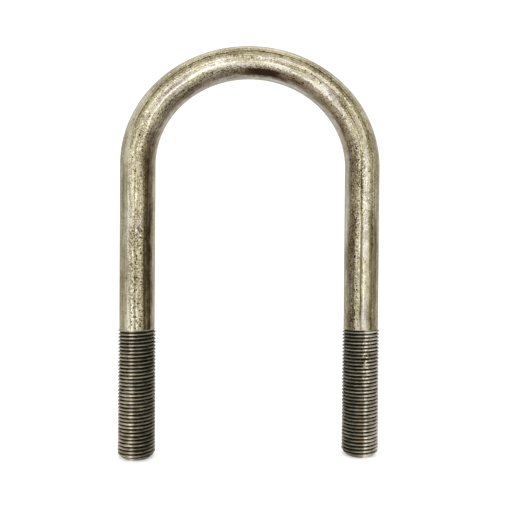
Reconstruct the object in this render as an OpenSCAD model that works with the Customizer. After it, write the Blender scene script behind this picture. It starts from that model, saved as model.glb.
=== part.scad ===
// Round-bar U-bolt for clamping a tube or an axle: one bent bar with a threaded end on each leg.
// It stands upright in the XZ plane, with its legs down -Z and the held tube's axis along Y.
// The origin is on that axis, level with the two ends of the bend.
// The bar is drawn region by region: the bend, a plain shank on each leg and a thread on each
// leg. Each region ends on a flat cross-section, and neighbours meet there face to face.

/* [Bar] */
// Diameter of the plain bar, close to the pitch diameter of the rolled threads
bar_d = 15; // [14.6:0.05:15.3]
// Distance between the axes of the two legs
leg_spacing = 97; // [60:1:140]
// Height of the bend over its width: 1 is a true half circle, less is a flatter crown
crown_ratio = 0.9175; // [0.85:0.0025:1]
// Length of the plain part of each leg, from the end of the bend to the thread
shank_len = 70; // [20:1:200]

/* [Thread] */
// Outside diameter over the thread crests
thread_d = 15.85; // [15.7:0.05:16]
// Distance from one thread crest to the next
pitch = 1.5; // [1, 1.25, 1.5, 2]
// Length of the thread on each leg, with the chamfered end
thread_len = 55; // [25:1:120]
// Width of the 45 degree chamfer at each leg's end
chamfer = 2; // [1.5:0.1:3]

/* [Hidden] */

bar_r = bar_d / 2;
leg_x = leg_spacing / 2;
thread_r = thread_d / 2;

// Metric 60 degree profile: crest flat P/8, root flat P/6, each flank 30 degrees from radial
crest_flat = pitch / 8;
root_flat = pitch / 6;
flank_slope = tan(30);
thread_depth = (pitch - crest_flat - root_flat) / 2 / flank_slope;
root_r = thread_r - thread_depth;
// The first groove starts at the surface of the plain bar, so its upper flank is shorter
first_flank = (bar_r - root_r) * flank_slope;
full_flank = thread_depth * flank_slope;
groove_count = floor((thread_len - first_flank) / pitch);

// Clearance by which a cutting envelope stands outside the crests
over = 1;

bar_finish = [0.62, 0.58, 0.49];
thread_finish = [0.45, 0.42, 0.37];

$fn = 96;

// Points of one groove and the crest below it, as [radius, height], from its root at height z
function groove(z) = [
    [root_r, z],
    [root_r, z - root_flat],
    [thread_r, z - root_flat - full_flank],
    [thread_r, z - root_flat - full_flank - crest_flat]
];

// Half outline of the threaded end, from its top face down to its end face
function thread_outline() = concat(
    [[0, 0], [bar_r, 0]],
    [for (i = [0 : groove_count - 1], p = groove(-first_flank - i * pitch)) p],
    [[thread_r, -thread_len], [0, -thread_len]]
);

// Half outline of the chamfered blank, standing clear of the crests above the chamfer
function blank_outline() = [
    [0, over],
    [0, -thread_len],
    [thread_r - chamfer, -thread_len],
    [thread_r + over, -thread_len + chamfer + over],
    [thread_r + over, over]
];

// Half ring of round bar, flattened towards the crown
module bend() {
    color(bar_finish)
        scale([1, 1, crown_ratio])
            rotate([90, 0, 0])
                rotate_extrude(angle = 180)
                    translate([leg_x, 0])
                        circle(r = bar_r);
}

// Plain part of one leg, hanging from the end of the bend
module shank(x) {
    color(bar_finish)
        translate([x, 0, -shank_len])
            cylinder(r = bar_r, h = shank_len);
}

// Threaded end of one leg: ring grooves at the thread's pitch, with a chamfered end
module thread(x) {
    color(thread_finish)
        translate([x, 0, -shank_len])
            intersection() {
                rotate_extrude()
                    polygon(thread_outline());
                rotate_extrude()
                    polygon(blank_outline());
            }
}

module left_shank() { shank(-leg_x); }
module right_shank() { shank(leg_x); }
module left_thread() { thread(-leg_x); }
module right_thread() { thread(leg_x); }

bend();
left_shank();
right_shank();
left_thread();
right_thread();
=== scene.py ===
import math
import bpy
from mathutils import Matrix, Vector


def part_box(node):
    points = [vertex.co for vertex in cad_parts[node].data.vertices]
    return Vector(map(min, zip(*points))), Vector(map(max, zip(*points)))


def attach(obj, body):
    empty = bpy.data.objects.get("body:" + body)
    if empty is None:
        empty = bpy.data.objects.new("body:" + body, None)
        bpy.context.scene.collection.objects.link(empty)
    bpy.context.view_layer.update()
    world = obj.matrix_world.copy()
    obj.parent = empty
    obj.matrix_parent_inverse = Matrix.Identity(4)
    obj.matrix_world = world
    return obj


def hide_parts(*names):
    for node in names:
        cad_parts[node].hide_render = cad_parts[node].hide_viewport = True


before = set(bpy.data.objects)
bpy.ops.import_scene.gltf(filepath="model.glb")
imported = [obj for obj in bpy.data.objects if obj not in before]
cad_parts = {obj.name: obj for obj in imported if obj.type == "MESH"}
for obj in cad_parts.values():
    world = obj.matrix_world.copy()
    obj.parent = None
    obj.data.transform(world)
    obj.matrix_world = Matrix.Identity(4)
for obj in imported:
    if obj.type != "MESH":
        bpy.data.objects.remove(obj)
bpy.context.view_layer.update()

from types import SimpleNamespace

import bmesh
import bpy
import numpy as np
from mathutils import Matrix, Vector, noise

MM = 0.001

# ---------------------------------------------------------------- sizes, read from the frame
shank_low, shank_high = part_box("right_shank")
thread_low, thread_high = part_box("right_thread")
bend_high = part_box("bend")[1]
BAR_R = (shank_high.x - shank_low.x) / 2
LEG_X = (shank_high.x + shank_low.x) / 2
CROWN_RATIO = bend_high.z / (LEG_X + BAR_R)
SHANK_END = shank_low.z
LEG_END = thread_low.z
CREST_R = (thread_high.y - thread_low.y) / 2
# Length of bar in half of the bend
HALF_BEND = math.pi / 2 * LEG_X * (1 + CROWN_RATIO) / 2

# Metric thread: 60 degree flanks between a crest flat of P/8 and a root flat of P/6
PITCH = 1.5 * MM
CREST_FLAT = 1 / 8
ROOT_FLAT = 1 / 6
FLANK = (1 - CREST_FLAT - ROOT_FLAT) / 2
THREAD_DEPTH = FLANK * PITCH / math.tan(math.radians(30))
ROOT_R = CREST_R - THREAD_DEPTH
CHAMFER = 2 * MM
# How far rolling rounded the crests: 0 leaves straight flanks, 1 makes each flank a quarter wave
CREST_ROUNDING = 0.6

# Points round each cross-section, and the distance between cross-sections
AROUND = 128
RING_GAP = 0.5 * MM
# Points closer than WELD are one, and faces smaller than SLIVER, in square metres, are dropped
WELD = 1e-6
SLIVER = 1e-14
SHARP_ANGLE = math.radians(40)
# Deepest hollow that drawing and bending left in the bar's surface
WAVE_DEPTH = 0.05 * MM
# A fine fold in the drawn surface, which shows on the bend
SEAM_ANGLE = 62
SEAM_DEPTH = 0.09 * MM
SEAM_HALF = 0.3 * MM
# Where the fold fades in and out, in mm along the bar
SEAM_IN, SEAM_OUT = (-62, -54), (28, 60)


# ---------------------------------------------------------------- places on the bar
# A point's place on the bar before it was bent is (out, back, along): out points away from the
# middle of the U, back is +Y, and along runs from the crown, where it is 0, down the right leg.
# A section angle is 0 facing out of the U, 90 facing the front and 180 facing into the U.
def straight_places(points):
    """Places on the straight bar of points on the bend and the legs."""
    x, y, z = points.T
    side = np.where(x < 0, -1, 1)
    theta = np.arctan2(z / CROWN_RATIO, x)
    on_bend = z > 0
    out = np.where(on_bend, np.hypot(x, z / CROWN_RATIO), side * x) - LEG_X
    along = np.where(on_bend, (1 - 2 * theta / math.pi) * HALF_BEND, side * (HALF_BEND - z))
    return np.stack([out, y, along], 1)


def smooth(t):
    t = np.clip(t, 0, 1)
    return t * t * (3 - 2 * t)


def hollows(places):
    """Depth of the shallow waves in the surface."""
    wide, small = Vector((5, 5, 14)) * MM, Vector((2.2, 2.2, 5)) * MM
    waves = [
        noise.noise([p / w for p, w in zip(place, wide)])
        + 0.6 * noise.noise([p / w + 7 for p, w in zip(place, small)])
        for place in places
    ]
    return WAVE_DEPTH * np.clip(0.5 + 0.4 * np.array(waves), 0, 1)


def seam_offset(places):
    """Section angle from the middle of the fold, which wanders a little."""
    offsets = []
    for out, back, along in places:
        long_wave = noise.noise((along / (16 * MM), 0, 3))
        short_wave = noise.noise((along / (3 * MM), 0, 9))
        wander = 3.5 * long_wave + 1.5 * short_wave
        offsets.append(math.degrees(math.atan2(-back, out)) - SEAM_ANGLE - wander)
    return np.array(offsets)


def seam_depth(places):
    """Depth of the fold at each place."""
    along = places[:, 2] / MM
    fade_in = smooth((along - SEAM_IN[0]) / (SEAM_IN[1] - SEAM_IN[0]))
    fade_out = smooth((SEAM_OUT[1] - along) / (SEAM_OUT[1] - SEAM_OUT[0]))
    aside = np.radians(seam_offset(places)) * BAR_R / SEAM_HALF
    return SEAM_DEPTH * fade_in * fade_out * np.exp(-aside * aside)


# ---------------------------------------------------------------- the bar's surface
PHI = np.linspace(0, 2 * math.pi, AROUND, endpoint=False)


def bar_radius(along):
    """Radius at each section angle, with the waves and the fold."""
    places = np.stack([BAR_R * np.cos(PHI), BAR_R * np.sin(PHI), along + 0 * PHI], 1)
    return BAR_R - hollows(places) - seam_depth(places)


def bend_ring(theta):
    """One cross-section of the bend. theta is 0 at the right leg and pi at the left leg."""
    radius = bar_radius((1 - 2 * theta / math.pi) * HALF_BEND)
    out = LEG_X + radius * np.cos(PHI)
    return np.stack(
        [out * math.cos(theta), radius * np.sin(PHI), CROWN_RATIO * out * math.sin(theta)], 1
    )


def leg_ring(side, z, radius):
    """One cross-section of a leg. side is 1 for the right leg and -1 for the left one."""
    return np.stack(
        [side * (LEG_X + radius * np.cos(PHI)), radius * np.sin(PHI), z + 0 * PHI], 1
    )


def shank_ring(side, z):
    return leg_ring(side, z, bar_radius(side * (HALF_BEND - z)))


def wall_faces(count):
    """Faces between neighbouring rings, and the two flat ends."""
    faces = []
    for i in range(count - 1):
        a, b = i * AROUND, (i + 1) * AROUND
        for j in range(AROUND):
            k = (j + 1) % AROUND
            faces.append((a + j, a + k, b + k, b + j))
    faces.append(tuple(range(AROUND))[::-1])
    faces.append(tuple((count - 1) * AROUND + j for j in range(AROUND)))
    return faces


# ---------------------------------------------------------------- the thread's surface
def profile_height(v):
    """Height above the root, 0 to 1, at v pitches from the middle of a root."""
    t = np.clip((abs(v) - ROOT_FLAT / 2) / FLANK, 0, 1)
    return (1 - CREST_ROUNDING) * t + CREST_ROUNDING * math.sin(math.pi / 2 * t)


def pitch_steps():
    """Where the profile's points lie along one pitch: close together at its corners."""
    half = [0.03, 0.075, 0.12, 0.2, 0.28, 0.36, 0.41, 0.46]
    return [-0.5] + [-v for v in half[::-1]] + half


def thread_rings(side):
    """Rings that follow the right-hand helix, squared off at the thread's two ends."""
    turn = side * PHI / (2 * math.pi)
    steps = pitch_steps()
    turns = int((SHANK_END - LEG_END) / PITCH) + 3
    run_in = 0.3 * PITCH
    plain = bar_radius(side * (HALF_BEND - SHANK_END))
    rings = []
    for i in range(turns):
        for v in steps:
            z = SHANK_END + (1 - i + turn - v) * PITCH
            radius = ROOT_R + THREAD_DEPTH * profile_height(v)
            radius = plain + smooth((SHANK_END - z) / run_in) * (radius - plain)
            z = np.clip(z, LEG_END, SHANK_END)
            radius = np.minimum(radius, CREST_R - CHAMFER + z - LEG_END)
            rings.append(leg_ring(side, z, radius))
    return rings, len(steps)


def helix_faces(count, step):
    """Faces between rings. Past a full turn a ring meets the ring one pitch away."""
    faces = []
    for i in range(count - 1):
        for j in range(AROUND):
            last = j == AROUND - 1
            near, far = (i + step, i + 1 + step) if last else (i, i + 1)
            if not 0 <= near or far >= count:
                continue
            k = (j + 1) % AROUND
            a, b = i * AROUND, (i + 1) * AROUND
            faces.append((a + j, near * AROUND + k, far * AROUND + k, b + j))
    return faces


def chamfer_cut(places):
    """1 where the chamfer has cut the thread's end, 0 elsewhere."""
    radius = np.hypot(places[:, 0], places[:, 1])
    above_end = HALF_BEND - LEG_END - np.abs(places[:, 2])
    return (radius > CREST_R - CHAMFER + above_end - WELD).astype(float)


def groove_height(places):
    """Height in the thread, from 0 at its root to 1 at its crest and on the chamfer."""
    height = (np.hypot(places[:, 0], places[:, 1]) - ROOT_R) / THREAD_DEPTH
    return np.maximum(height, chamfer_cut(places))


def close_ends(bm):
    """Fills the open ends, and gives the lower one rings of its own."""
    open_edges = [e for e in bm.edges if len(e.link_faces) == 1]
    ends = bmesh.ops.holes_fill(bm, edges=open_edges, sides=0)["faces"]
    for face in ends:
        if face.calc_center_median().z < LEG_END + WELD:
            for part in (0.25, 0.3, 0.4, 0.5):
                width = part * math.sqrt(face.calc_area() / math.pi)
                bmesh.ops.inset_individual(bm, faces=[face], thickness=width)


# ---------------------------------------------------------------- pieces
def make_piece(name, rings, faces, node, material):
    """A closed mesh, smooth along its wall and sharp at its ends, which replaces a CAD node."""
    mesh = bpy.data.meshes.new(name)
    mesh.from_pydata(np.concatenate(rings).tolist(), [], faces)
    bm = bmesh.new()
    bm.from_mesh(mesh)
    bmesh.ops.remove_doubles(bm, verts=bm.verts, dist=WELD)
    slivers = [f for f in bm.faces if f.calc_area() < SLIVER]
    bmesh.ops.delete(bm, geom=slivers, context="FACES_ONLY")
    loose = [v for v in bm.verts if not v.link_faces]
    bmesh.ops.delete(bm, geom=loose, context="VERTS")
    close_ends(bm)
    bmesh.ops.recalc_face_normals(bm, faces=bm.faces)
    bm.to_mesh(mesh)
    bm.free()

    points = np.empty(3 * len(mesh.vertices))
    mesh.vertices.foreach_get("co", points)
    places = straight_places(points.reshape(-1, 3))
    straight = mesh.attributes.new("straight", "FLOAT_VECTOR", "POINT")
    straight.data.foreach_set("vector", places.ravel())
    for mark, values in (("seam", seam_offset), ("height", groove_height), ("cut", chamfer_cut)):
        mesh.attributes.new(mark, "FLOAT", "POINT").data.foreach_set("value", values(places))

    mesh.polygons.foreach_set("use_smooth", [True] * len(mesh.polygons))
    mesh.set_sharp_from_angle(angle=SHARP_ANGLE)
    mesh.materials.append(material)
    piece = bpy.data.objects.new(name, mesh)
    bpy.context.scene.collection.objects.link(piece)
    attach(piece, "root")
    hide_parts(node)


def make_bend(material):
    count = int(2 * HALF_BEND / RING_GAP)
    rings = [bend_ring(math.pi * i / count) for i in range(count + 1)]
    make_piece("bend_bar", rings, wall_faces(len(rings)), "bend", material)


def make_shank(side, word, material):
    count = int(-SHANK_END / RING_GAP)
    rings = [shank_ring(side, SHANK_END * i / count) for i in range(count + 1)]
    name = word + "_shank"
    make_piece(name + "_bar", rings, wall_faces(len(rings)), name, material)


def make_thread(side, word, material):
    rings, step = thread_rings(side)
    name = word + "_thread"
    faces = helix_faces(len(rings), -side * step)
    make_piece(name + "_helix", rings, faces, name, material)


# ---------------------------------------------------------------- materials
class Tree:
    """A short way to write a material's nodes."""

    def __init__(self, name):
        self.material = bpy.data.materials.new(name)
        self.material.use_nodes = True
        self.nodes = self.material.node_tree.nodes
        self.links = self.material.node_tree.links
        self.shader = self.nodes["Principled BSDF"]

    def add(self, kind, inputs=None, **settings):
        node = self.nodes.new(kind)
        for key, value in settings.items():
            setattr(node, key, value)
        for key, value in (inputs or {}).items():
            if isinstance(value, bpy.types.NodeSocket):
                self.links.new(value, node.inputs[key])
            else:
                node.inputs[key].default_value = value
        return node

    def finish(self, name, socket):
        self.links.new(socket, self.shader.inputs[name])

    def math(self, operation, a, b=0.0, clamp=False):
        node = self.add("ShaderNodeMath", {0: a, 1: b}, operation=operation, use_clamp=clamp)
        return node.outputs[0]

    def plus(self, *terms):
        total = terms[0]
        for term in terms[1:]:
            total = self.math("ADD", total, term)
        return total

    def times(self, *terms):
        total = terms[0]
        for term in terms[1:]:
            total = self.math("MULTIPLY", total, term)
        return total

    def ramp(self, value, low, high, to_low=0.0, to_high=1.0):
        """to_low up to low, to_high from high on, and a smooth step between."""
        node = self.add(
            "ShaderNodeMapRange",
            {
                "Value": value,
                "From Min": low,
                "From Max": high,
                "To Min": to_low,
                "To Max": to_high,
            },
            interpolation_type="SMOOTHSTEP",
        )
        return node.outputs[0]

    def band(self, value, centre, half_width, soft):
        """1 within half_width of centre and 0 further out. soft is the width of the edge."""
        offset = self.math("ABSOLUTE", self.math("SUBTRACT", value, centre))
        return self.ramp(offset, half_width - soft / 2, half_width + soft / 2, 1, 0)

    def between(self, value, low, high, low_soft, high_soft):
        """1 from low to high, with an edge of its own width at each."""
        rise = self.ramp(value, low - low_soft / 2, low + low_soft / 2)
        fall = self.ramp(value, high - high_soft / 2, high + high_soft / 2, 1, 0)
        return self.math("MULTIPLY", rise, fall)

    def mix(self, factor, a, b):
        return self.add("ShaderNodeMix", {0: factor, 6: a, 7: b}, data_type="RGBA").outputs[2]

    def tint(self, colour, share, by):
        """A colour with this share of it multiplied by another."""
        inputs = {0: share, 6: colour, 7: (*by, 1)}
        node = self.add("ShaderNodeMix", inputs, data_type="RGBA", blend_type="MULTIPLY")
        return node.outputs[2]

    def stretched(self, vector, x, y, z):
        node = self.add("ShaderNodeVectorMath", {0: vector, 1: (x, y, z)}, operation="MULTIPLY")
        return node.outputs[0]

    def noise(self, vector, size, length, detail=3.0, roughness=0.55):
        """Noise around 0 with marks about size mm across and length mm long."""
        node = self.add(
            "ShaderNodeTexNoise",
            {
                "Vector": self.stretched(vector, 1 / size, 1 / size, 1 / length),
                "Scale": 1.0,
                "Detail": detail,
                "Roughness": roughness,
            },
        )
        return self.times(self.math("SUBTRACT", node.outputs[0], 0.5), 2)

    def colours(self, tone, stops):
        node = self.add("ShaderNodeValToRGB", {0: tone})
        ramp = node.color_ramp
        ramp.elements[0].position, ramp.elements[0].color = stops[0][0], (*stops[0][1], 1)
        ramp.elements[1].position, ramp.elements[1].color = stops[-1][0], (*stops[-1][1], 1)
        for position, colour in stops[1:-1]:
            ramp.elements.new(position).color = (*colour, 1)
        return node.outputs[0]

    def bump(self, height, distance, normal=None):
        """height of 1 stands distance mm proud."""
        inputs = {"Height": height, "Distance": distance * MM, "Strength": 1.0}
        if normal is not None:
            inputs["Normal"] = normal
        return self.add("ShaderNodeBump", inputs).outputs[0]

    def attribute(self, name, output="Fac"):
        node = self.add("ShaderNodeAttribute", attribute_name=name, attribute_type="GEOMETRY")
        return node.outputs[output]

    def place(self):
        """The place on the straight bar in mm, its part along the bar, and the section angle."""
        place = self.stretched(self.attribute("straight", "Vector"), 1 / MM, 1 / MM, 1 / MM)
        out, back, along = self.add("ShaderNodeSeparateXYZ", {0: place}).outputs
        angle = self.times(self.math("ARCTAN2", back, out), -math.degrees(1))
        return place, along, angle


def pits(t, place, size, share):
    """Round pits about size mm across: how deep a point lies in one, and its darker rim."""
    cells = t.add(
        "ShaderNodeTexVoronoi",
        {"Vector": t.stretched(place, 0.5 / size, 0.5 / size, 0.4 / size), "Scale": 1.0},
    )
    chance = t.add("ShaderNodeSeparateColor", {0: cells.outputs["Color"]}).outputs[0]
    there = t.math("LESS_THAN", chance, share)
    deep = t.times(there, t.ramp(cells.outputs["Distance"], 0.12, 0.34, 1, 0))
    rim = t.times(there, t.band(cells.outputs["Distance"], 0.26, 0.07, 0.1))
    return deep, rim


def drawn_lines(t, angle, lines):
    """Lengthwise lines, each with a section angle, a half width and a tone: lines left by drawing,
    and a painted highlight line on the left bend.
    """
    bands = [t.times(t.band(angle, at, half, 0.6 * half + 1), tone) for at, half, tone in lines]
    return t.plus(*bands)


# The drawn lines on each part of the bar: section angle, half width and tone
LEFT_LINES = (
    (106, 4, -0.04),
    (90, 3, -0.14),
    (81, 3, 0.1),
    (67, 4, 0.2),
    (57, 4, 0.08),
    (45, 2, -0.12),
)
RIGHT_LINES = ((104, 3, -0.24), (91, 7, 0.12), (67, 4, -0.18))
LOW_RIGHT_LINES = ((120, 5, 0.14), (72, 6, -0.16), (61, 4, -0.12), (52, 6, -0.22))
BEND_LINES = (
    (94, 5, -0.14),
    (77, 1.2, -0.18),
    (72, 1, -0.16),
    (67, 2.5, -0.22),
    (52, 2.5, -0.18),
    (42, 1, -0.08),
)
# On the left bend: a painted highlight line, and a dark line beside it
LEFT_BEND_HIGHLIGHT_LINES = ((104, 1.6, 0.2), (97, 1.5, -0.12))

# Tone is 0 in black oxide and 1 on bare bright steel. CLEAN_TONE is the bar's between its marks
CLEAN_TONE = 0.7
STEEL_TONES = (
    (0.0, (0.015, 0.01, 0.006)),
    (0.2, (0.055, 0.04, 0.02)),
    (0.45, (0.18, 0.152, 0.085)),
    (0.7, (0.36, 0.325, 0.225)),
    (1.0, (0.74, 0.7, 0.59)),
)
# The same tones where a brown film shows, and not the olive tinge of oil
BROWN_TONES = (
    (0.0, (0.018, 0.01, 0.007)),
    (0.2, (0.062, 0.038, 0.022)),
    (0.45, (0.188, 0.154, 0.11)),
    (0.7, (0.36, 0.33, 0.275)),
    (1.0, (0.74, 0.705, 0.64)),
)
# Tints over those colours
RED_OXIDE = (1, 0.91, 0.78)
GREY_STEEL = (1, 1.05, 1.15)
WARM_OIL = (1, 0.98, 0.89)
# Reflection at a glancing angle, next to that of a perfect mirror
GLANCING = (0.78, 0.77, 0.72, 1)
OILY_GLANCING = (0.6, 0.59, 0.56, 1)


def bar_fields(t):
    """The places, noises and regions that the marks on the bar are drawn from."""
    place, along, angle = t.place()
    b = SimpleNamespace(place=place, along=along, angle=angle)
    b.from_crown = t.math("ABSOLUTE", along)
    b.grain = t.noise(place, 0.5, 0.6, 2, 0.6)
    b.mottle = t.noise(place, 1.6, 3.5, 4, 0.65)
    b.patches = t.noise(place, 6, 16, 2, 0.5)
    b.streaks = t.noise(place, 0.9, 45, 3, 0.55)
    b.lines = t.noise(place, 0.4, 25, 2, 0.5)
    # Section angles that give a band ragged edges, and a line a wavering course
    sway = t.noise(place, 40, 12, 2, 0.5)
    b.rough_angle = t.plus(angle, t.times(b.mottle, 7), t.times(b.grain, 8))
    b.line_angle = t.plus(angle, t.times(sway, 6), t.times(b.grain, 2))
    # 1 on the left leg, the right leg, either leg and the bend, and 0 elsewhere
    b.on_left = t.ramp(along, -45, -72)
    b.on_right = t.ramp(along, 48, 74)
    b.on_legs = t.plus(b.on_left, b.on_right)
    b.on_bend = t.math("SUBTRACT", 1, b.on_legs)
    return b


def oxide_and_painted_shade_tone(t, b):
    """A dark band on the inner side towards the front, black oxide and painted shade where the bar
    faces into the U, and a band of black oxide at the back.
    """
    # The front band winds round a little as it goes down each leg
    left_angle = t.plus(b.rough_angle, t.ramp(b.along, -108, -90, 1.8, 0))
    right_angle = t.plus(b.rough_angle, t.ramp(b.along, 85, 110, 4, -3))
    left = t.times(t.between(left_angle, 115, 150, 16, 30), b.on_left)
    right = t.times(t.between(right_angle, 119, 154, 10, 24), b.on_right)
    bend = t.times(t.between(b.rough_angle, 120, 160, 12, 22), b.on_bend)
    edge = t.times(t.band(b.rough_angle, 145, 8, 10), b.on_bend)
    # The front bands are painted shade as well as black oxide
    front = t.plus(
        t.times(left, t.ramp(b.along, -110, -80, 0.49, 0.34)),
        t.times(right, t.ramp(b.along, 80, 110, 0.17, 0.23)),
        t.times(bend, t.ramp(b.along, 10, 30, 0.32, 0.24)),
        t.times(edge, t.ramp(b.along, 40, 55, 0, 0.12)),
    )
    return t.plus(t.times(front, -1), t.times(t.band(b.rough_angle, -122, 20, 16), -0.25))


def painted_bend_highlight_band(t, b):
    """A painted highlight: a bright band beside the oxide on the bend, strongest at the crown."""
    offset = t.math("SUBTRACT", b.rough_angle, t.ramp(b.along, 5, 50, 105, 119))
    return t.times(t.band(offset, 0, 6, 8), t.ramp(b.from_crown, 10, 65, 1, 0.2), b.on_bend)


def crown_patch(t, b):
    """A worn black patch under the crown, beside its middle."""
    length = t.band(t.plus(b.along, t.times(b.mottle, 3)), 5, 8, 9)
    return t.times(t.between(b.rough_angle, 124, 152, 8, 14), length)


def mill_roughness(t, b):
    """How rough the mill left the bar: both faces of the U more than its other sides."""
    side = t.math("ABSOLUTE", b.rough_angle)
    return t.plus(
        t.ramp(side, 146, 162, 0.35, 0.12),
        t.times(t.band(side, 95, 45, 24), b.on_bend, 0.45),
        t.times(t.band(b.rough_angle, 92, 24, 14), b.on_left, 0.6),
        t.times(t.band(b.rough_angle, 88, 30, 20), t.between(b.along, 62, 98, 20, 24), 0.5),
        t.times(t.between(b.rough_angle, 112, 142, 8, 12), b.on_right, 0.9),
        t.times(t.band(b.rough_angle, -92, 30, 24), b.on_legs, 0.5),
    )


def bar_pits(t, b):
    """Pits, scattered and in chains that run along the bar."""
    chain_angle = t.math("SUBTRACT", b.line_angle, t.ramp(b.along, -60, 60, 90, 122))
    chain = t.times(t.band(chain_angle, 0, 5, 6), t.ramp(b.from_crown, 90, 105))
    beside_chain = t.times(t.band(chain_angle, -4, 20, 12), t.ramp(b.along, -90, -105))
    on_mottle = t.ramp(b.mottle, -0.1, 0.2)
    bend_chain = t.times(t.band(b.line_angle, 109, 3, 4), t.between(b.along, -66, -20, 16, 20))
    share = t.plus(
        0.08,
        t.times(chain, 0.7),
        t.times(bend_chain, 0.4),
        t.times(beside_chain, on_mottle, 0.55),
        t.ramp(b.patches, 0.05, 0.4, 0, 0.25),
    )
    return pits(t, b.place, 0.6, share)


def speck_tone(t, b, deep, rim, painted_bend_highlight):
    """Dark speckle, light flecks and pits where the surface is rough, half as strong under the
    painted highlight on the bend.
    """
    speckle = t.plus(b.grain, t.times(b.streaks, 0.3), t.times(b.patches, -0.3))
    flecks = t.noise(t.stretched(b.place, -1, 1, 1), 0.65, 0.9, 2, 0.5)
    marks = t.plus(
        t.times(t.ramp(speckle, 0.02, 0.22), -0.36),
        t.times(t.ramp(flecks, 0.08, 0.26), 0.16),
        t.times(rim, -0.5),
        t.times(deep, -0.2),
    )
    return t.times(marks, mill_roughness(t, b), t.math("SUBTRACT", 1, t.times(painted_bend_highlight, 0.5)))


def all_over_tone(t, b):
    """Mottle, and lengthwise streaks that are weaker on the inner and outer sides."""
    side = t.math("ABSOLUTE", b.rough_angle)
    calm = t.times(t.ramp(side, 146, 162, 1, 0.5), t.ramp(side, 55, 35, 1, 0.75))
    return t.plus(
        t.times(b.patches, 0.16),
        t.times(b.streaks, 0.3, calm),
        t.times(b.lines, 0.25, calm),
        t.times(b.mottle, 0.25),
    )


def local_tone(t, b):
    """Lighter and darker areas, each in a range of section angles and of places along the bar."""
    return t.plus(
        t.times(b.on_legs, -0.05),
        # Painted shade along the innermost edge, where the bar faces into the U
        t.times(t.ramp(b.angle, 162, 178), -0.08),
        t.times(t.band(b.rough_angle, 42, 10, 14), b.on_bend, 0.09),
        t.times(t.band(b.rough_angle, 98, 6, 6), b.on_bend, t.ramp(b.along, 20, 42), -0.14),
        t.times(t.band(b.line_angle, 70, 8, 8), b.on_bend, -0.04),
        t.times(t.band(b.rough_angle, 92, 26, 12), b.on_left, 0.035),
        t.times(t.band(b.rough_angle, 85, 16, 14), t.band(b.along, 0, 20, 20), 0.03),
        t.times(t.band(b.line_angle, 46, 18, 10), t.band(b.along, -58, 16, 12), 0.12),
        t.times(t.band(b.rough_angle, 123, 8, 10), t.band(b.along, 42, 13, 12), 0.13),
        t.times(t.band(b.angle, 162, 16, 14), t.band(b.along, 87, 17, 14), 0.11),
        t.times(t.band(b.angle, 34, 7, 8), t.between(b.along, 60, 106, 20, 16), 0.05),
        t.times(t.band(b.angle, 51, 2.5, 3), t.band(b.along, 0, 30, 16), -0.09),
        t.times(t.band(b.angle, 60, 3, 3), t.band(b.from_crown, 40, 11, 8), 0.12),
        t.times(t.band(b.rough_angle, 104, 14, 12), t.ramp(b.along, -94, -110), -0.035),
        t.times(t.band(b.line_angle, 112, 9, 8), t.band(b.along, -58, 16, 12), -0.12),
        t.times(t.band(b.line_angle, 118, 7, 8), t.band(b.along, -28, 18, 14), -0.04),
        t.times(t.band(b.rough_angle, 92, 30, 16), t.band(b.along, -34, 24, 20), 0.035),
        t.times(t.band(b.angle, 24, 12, 16), b.on_legs, -0.06),
    )


def line_tone(t, b):
    """The drawn lines on every part of the bar, and a painted highlight line on the left bend."""
    # The bend's lines are half as strong on its left half, which has two more of its own: a painted
    # highlight line and a dark line
    bend_share = t.times(b.on_bend, t.ramp(b.along, 0, 25, 0.5, 1))
    left_share = t.between(b.along, -64, -16, 24, 24)
    return t.plus(
        t.times(drawn_lines(t, b.line_angle, LEFT_LINES), b.on_left),
        t.times(drawn_lines(t, b.line_angle, RIGHT_LINES), b.on_right),
        t.times(drawn_lines(t, b.line_angle, LOW_RIGHT_LINES), t.ramp(b.along, 82, 108)),
        t.times(drawn_lines(t, b.line_angle, BEND_LINES), bend_share),
        t.times(drawn_lines(t, b.line_angle, LEFT_BEND_HIGHLIGHT_LINES), left_share),
    )


def seam_tone(t, b):
    """Oxide in the fold, which is part of the mesh."""
    seam = t.times(
        t.band(t.attribute("seam"), 0, 1.7, 1.8),
        t.ramp(b.along, *SEAM_IN),
        t.ramp(b.along, *SEAM_OUT, 1, 0),
        t.ramp(b.grain, -0.5, 0.2, 0.6, 1),
    )
    return t.times(seam, t.ramp(b.from_crown, 18, 42, -0.66, -0.5))


def bar_colour(t, b, tone):
    """The tone's colour, olive or browned, with tints of red oxide, grey steel and warm oil."""
    film = t.plus(
        t.noise(b.place, 3, 9, 2, 0.5),
        t.ramp(b.angle, 115, 160, 0, 0.45),
        t.times(t.band(b.line_angle, 91, 8, 8), b.on_right, 0.4),
        t.times(t.band(b.angle, 130, 45, 20), b.on_bend, 0.3),
        t.times(t.ramp(b.angle, 85, 60), t.ramp(b.along, -20, -60), -0.4),
    )
    browned = t.ramp(film, 0.1, 0.5)
    colour = t.mix(browned, t.colours(tone, STEEL_TONES), t.colours(tone, BROWN_TONES))
    # Red oxide shows through along the edge of the black
    on_left_leg = t.times(t.band(b.along, -82, 10, 20), 0.9)
    red = t.times(
        t.band(b.rough_angle, 132, 10, 12),
        t.plus(t.between(b.along, 14, 112, 8, 20), on_left_leg),
        t.ramp(b.mottle, -0.3, 0.2, 0.5, 1),
    )
    grey = t.times(t.ramp(b.angle, 140, 156), t.band(b.along, -12, 38, 30))
    warm = t.times(t.band(b.angle, 62, 16, 16), t.between(b.along, -82, 88, 30, 20))
    colour = t.tint(colour, red, RED_OXIDE)
    colour = t.tint(colour, grey, GREY_STEEL)
    return t.tint(colour, warm, WARM_OIL)


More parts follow.
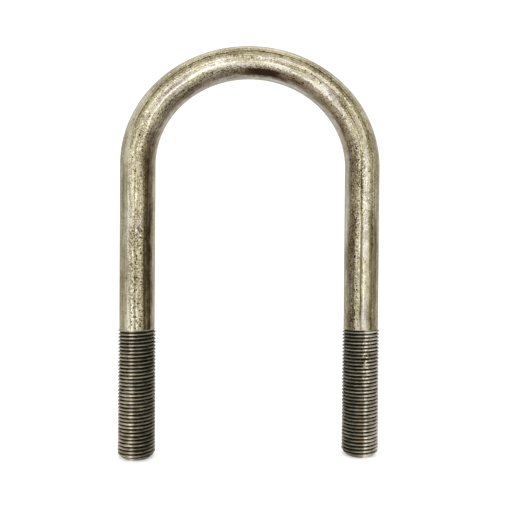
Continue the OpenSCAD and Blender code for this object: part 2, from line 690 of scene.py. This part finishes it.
def bar_steel():
    t = Tree("bar_steel")
    b = bar_fields(t)
    deep, rim = bar_pits(t, b)
    painted_bend_highlight = painted_bend_highlight_band(t, b)
    tone = t.plus(
        CLEAN_TONE,
        local_tone(t, b),
        all_over_tone(t, b),
        speck_tone(t, b, deep, rim, painted_bend_highlight),
        oxide_and_painted_shade_tone(t, b),
        # Painted highlight on the bend
        t.times(painted_bend_highlight, 0.2),
        line_tone(t, b),
        seam_tone(t, b),
    )
    outside_patch = t.math("SUBTRACT", 1, t.times(crown_patch(t, b), 0.93))
    tone = t.times(t.math("ADD", tone, 0, True), outside_patch)
    t.finish("Base Color", bar_colour(t, b, tone))
    t.shader.inputs["Metallic"].default_value = 1.0
    t.shader.inputs["Specular Tint"].default_value = GLANCING
    t.finish("Roughness", t.plus(t.ramp(tone, 0.15, 0.8, 0.36, 0.22), t.times(b.grain, 0.08)))
    pitted = t.bump(t.plus(t.times(b.grain, 0.6), t.times(deep, -1.2), b.mottle), 0.045)
    t.finish("Normal", t.bump(t.plus(b.streaks, b.lines), 0.035, pitted))
    return t.material


# The same for the threads, where they are clean and where they are a little rusty
THREAD_TONES = (
    (0.0, (0.01, 0.01, 0.007)),
    (0.3, (0.07, 0.067, 0.048)),
    (0.6, (0.27, 0.248, 0.192)),
    (1.0, (0.8, 0.74, 0.64)),
)
RUSTY_TONES = (
    (0.0, (0.014, 0.009, 0.006)),
    (0.3, (0.08, 0.062, 0.04)),
    (0.6, (0.285, 0.24, 0.17)),
    (1.0, (0.8, 0.72, 0.6)),
)


def thread_fields(t):
    """The places, noises and regions that the marks on the threads are drawn from."""
    place, along, angle = t.place()
    f = SimpleNamespace(place=place, along=along)
    f.grain = t.noise(place, 0.5, 0.6, 3, 0.6)
    f.mottle = t.noise(place, 2.5, 4, 3, 0.6)
    f.height = t.plus(t.attribute("height"), t.times(f.grain, 0.2), t.times(f.mottle, 0.18))
    f.oily_angle = t.math("ABSOLUTE", t.plus(angle, t.times(f.mottle, 8)))
    f.on_right = t.ramp(along, -1, 1)
    # A painted highlight line down both faces of each leg
    f.bright = t.band(f.oily_angle, t.ramp(along, -1, 1, 78, 85), 5.5, 8)
    return f


def painted_glint_and_bruise_tone(t, f):
    """Painted glints and dark marks where the crests are bruised, on the first turns of the right
    leg.
    """
    bruised = t.times(t.band(f.oily_angle, 84, 12, 10), t.band(f.along, 156, 10, 8))
    painted_glint = t.times(bruised, t.ramp(t.noise(f.place, 1.1, 1.4, 2, 0.5), 0.05, 0.3))
    return t.plus(t.times(painted_glint, 0.7), t.times(bruised, t.ramp(f.mottle, 0.0, 0.25), -0.35))


def thread_tone(t, f):
    """Roots painted dark as painted shade in the grooves, deeper on the outer side, bright crests, a
    painted highlight line, and black oxide with painted shade on the inner side.
    """
    # Breaks the painted highlight line up in patches
    worn = t.ramp(t.noise(f.place, 1.8, 2.4, 2, 0.5), -0.3, 0.15, 0.35, 1)
    # One turn is more worn than the next
    turns = t.noise(f.place, 4.5, 0.9, 2, 0.5)
    # Black oxide and painted shade towards the inner side; rolling wore the oxide off the outer side
    oxide = t.plus(t.ramp(f.oily_angle, 81, 97, 0, 0.18), t.ramp(f.oily_angle, 105, 124, 0, 0.06))
    # Painted shade, deeper in the roots on the outer side
    painted_outer_root_shade = t.times(t.ramp(f.oily_angle, 58, 30), t.ramp(f.height, 0.4, 0.9, 1, 0))
    tone = t.plus(
        # Painted shade in the roots: the tone falls to black towards the bottom of each groove
        t.ramp(f.height, 0.0, 0.42, 0.0, 0.76),
        t.ramp(f.height, 0.65, 1.0, 0.0, -0.14),
        # The painted highlight line
        t.times(f.bright, t.ramp(f.along, -1, 1, 0.17, 0.22), worn),
        t.times(f.on_right, 0.05),
        t.times(turns, 0.3),
        painted_glint_and_bruise_tone(t, f),
        t.times(painted_outer_root_shade, -0.22),
        t.times(oxide, -1),
        t.times(t.attribute("cut"), 0.14),
        t.times(t.noise(f.place, 7, 16, 2, 0.5), 0.14),
        t.times(f.mottle, 0.16),
        t.times(f.grain, 0.16),
    )
    return t.math("ADD", tone, 0, True)


def rust_share(t, f):
    """Where the threads are a little rusty: in patches.

    There is none along the painted highlight line, on the innermost side or outside on the right leg.
    """
    return t.times(
        t.math("SUBTRACT", 1, f.bright),
        t.math("SUBTRACT", 1, t.times(f.on_right, t.ramp(f.oily_angle, 82, 98, 1, 0))),
        t.ramp(f.oily_angle, 108, 124, 1, 0),
        t.ramp(t.noise(f.place, 4, 12, 2, 0.5), -0.3, 0.25, 0.1, 0.9),
    )


def thread_steel():
    t = Tree("thread_steel")
    f = thread_fields(t)
    tone = thread_tone(t, f)
    clean, rusty = t.colours(tone, THREAD_TONES), t.colours(tone, RUSTY_TONES)
    t.finish("Base Color", t.mix(rust_share(t, f), clean, rusty))
    t.shader.inputs["Metallic"].default_value = 1.0
    t.shader.inputs["Specular Tint"].default_value = OILY_GLANCING
    t.finish("Roughness", t.ramp(f.height, 0.1, 0.9, 0.45, 0.26))
    t.finish("Normal", t.bump(t.plus(f.grain, t.times(f.mottle, 1.5)), 0.03))
    return t.material


def stage_paper():
    """White paper lit a little from below, as on a light table."""
    t = Tree("stage_paper")
    place = t.add("ShaderNodeTexCoord").outputs["Object"]
    fibre = t.add("ShaderNodeTexNoise", {"Vector": place, "Scale": 60.0}).outputs[0]
    t.finish("Base Color", t.mix(fibre, (0.87, 0.87, 0.865, 1), (0.9, 0.9, 0.895, 1)))
    t.shader.inputs["Roughness"].default_value = 0.9
    t.shader.inputs["Emission Color"].default_value = (1, 1, 1, 1)
    t.shader.inputs["Emission Strength"].default_value = GLOW
    return t.material


# ---------------------------------------------------------------- stage
FLOOR_R = 4.0
FLOOR_SIDES = 64
# The floor lies this far below the legs' end faces, so that the faces don't share a plane
FLOOR_GAP = 0.05 * MM
# Light given off by the floor, and brightness of the wall behind the U-bolt and of the others
GLOW = 0.2
BACK_WALL, SIDE_WALL = 1.15, 0.95
# How far towards +Y a direction points where the back wall begins, and where it is at its brightest
BACK_FROM, BACK_FULL = 0.3, 0.85


def stage():
    """A pale floor that reaches out to the horizon."""
    mesh = bpy.data.meshes.new("stage_floor")
    turns = [2 * math.pi * i / FLOOR_SIDES for i in range(FLOOR_SIDES)]
    level = LEG_END - FLOOR_GAP
    corners = [(FLOOR_R * math.cos(a), FLOOR_R * math.sin(a), level) for a in turns]
    mesh.from_pydata(corners, [], [tuple(range(FLOOR_SIDES))])
    mesh.materials.append(stage_paper())
    floor = bpy.data.objects.new("stage_floor", mesh)
    bpy.context.scene.collection.objects.link(floor)


def softbox(name, place, aim, size, radiance):
    """A rectangular light that the camera does not see."""
    data = bpy.data.lights.new(name, "AREA")
    data.shape = "RECTANGLE"
    data.size, data.size_y = size
    data.energy = radiance * math.pi * size[0] * size[1]
    light = bpy.data.objects.new(name, data)
    light.location = place
    light.rotation_euler = (Vector(aim) - Vector(place)).to_track_quat("-Z", "Y").to_euler()
    light.visible_camera = False
    bpy.context.scene.collection.objects.link(light)


def studio_walls():
    """The room: white behind the U-bolt, a little dimmer elsewhere, and white wherever it is seen."""
    sky = bpy.data.worlds.new("studio")
    sky.use_nodes = True
    nodes, links = sky.node_tree.nodes, sky.node_tree.links
    parts = nodes.new("ShaderNodeSeparateXYZ")
    links.new(nodes.new("ShaderNodeTexCoord").outputs["Generated"], parts.inputs[0])
    wall = nodes.new("ShaderNodeMapRange")
    wall.interpolation_type = "SMOOTHSTEP"
    links.new(parts.outputs[1], wall.inputs["Value"])
    wall.inputs["From Min"].default_value = BACK_FROM
    wall.inputs["From Max"].default_value = BACK_FULL
    wall.inputs["To Min"].default_value = SIDE_WALL
    wall.inputs["To Max"].default_value = BACK_WALL
    seen = nodes.new("ShaderNodeMix")
    links.new(nodes.new("ShaderNodeLightPath").outputs["Is Camera Ray"], seen.inputs[0])
    links.new(wall.outputs[0], seen.inputs[2])
    seen.inputs[3].default_value = BACK_WALL
    links.new(seen.outputs[0], nodes["Background"].inputs["Strength"])
    nodes["Background"].inputs["Color"].default_value = (1, 1, 1, 1)
    bpy.context.scene.world = sky


# ---------------------------------------------------------------- camera
# Sensor width and focal length in mm
SENSOR, LENS = 36, 43.6
DISTANCE = 0.2685
AZIMUTH, ELEVATION, ROLL = math.radians(-3.44), math.radians(0.7), math.radians(0.43)
AIM = Vector((0.00235, 0, -0.0387))


def camera():
    data = bpy.data.cameras.new("camera")
    data.sensor_width = SENSOR
    data.lens = LENS
    data.clip_start = 0.01
    turn = (
        Matrix.Rotation(AZIMUTH, 4, "Z")
        @ Matrix.Rotation(math.pi / 2 - ELEVATION, 4, "X")
        @ Matrix.Rotation(ROLL, 4, "Z")
    )
    cam = bpy.data.objects.new("camera", data)
    cam.matrix_world = Matrix.Translation(AIM + turn.to_3x3() @ Vector((0, 0, DISTANCE))) @ turn
    bpy.context.scene.collection.objects.link(cam)
    bpy.context.scene.camera = cam
    bpy.context.scene.view_settings.view_transform = "Standard"


steel, threaded = bar_steel(), thread_steel()
make_bend(steel)
for side, word in ((-1, "left"), (1, "right")):
    make_shank(side, word, steel)
    make_thread(side, word, threaded)
stage()
studio_walls()
softbox("top_box", place=(0, 0.05, 0.95), aim=(0, 0, 0), size=(1.0, 1.0), radiance=0.9)
softbox("front_box", place=(0, -0.75, 0.3), aim=(0, 0, 0.2), size=(1.4, 0.84), radiance=1.0)
camera()
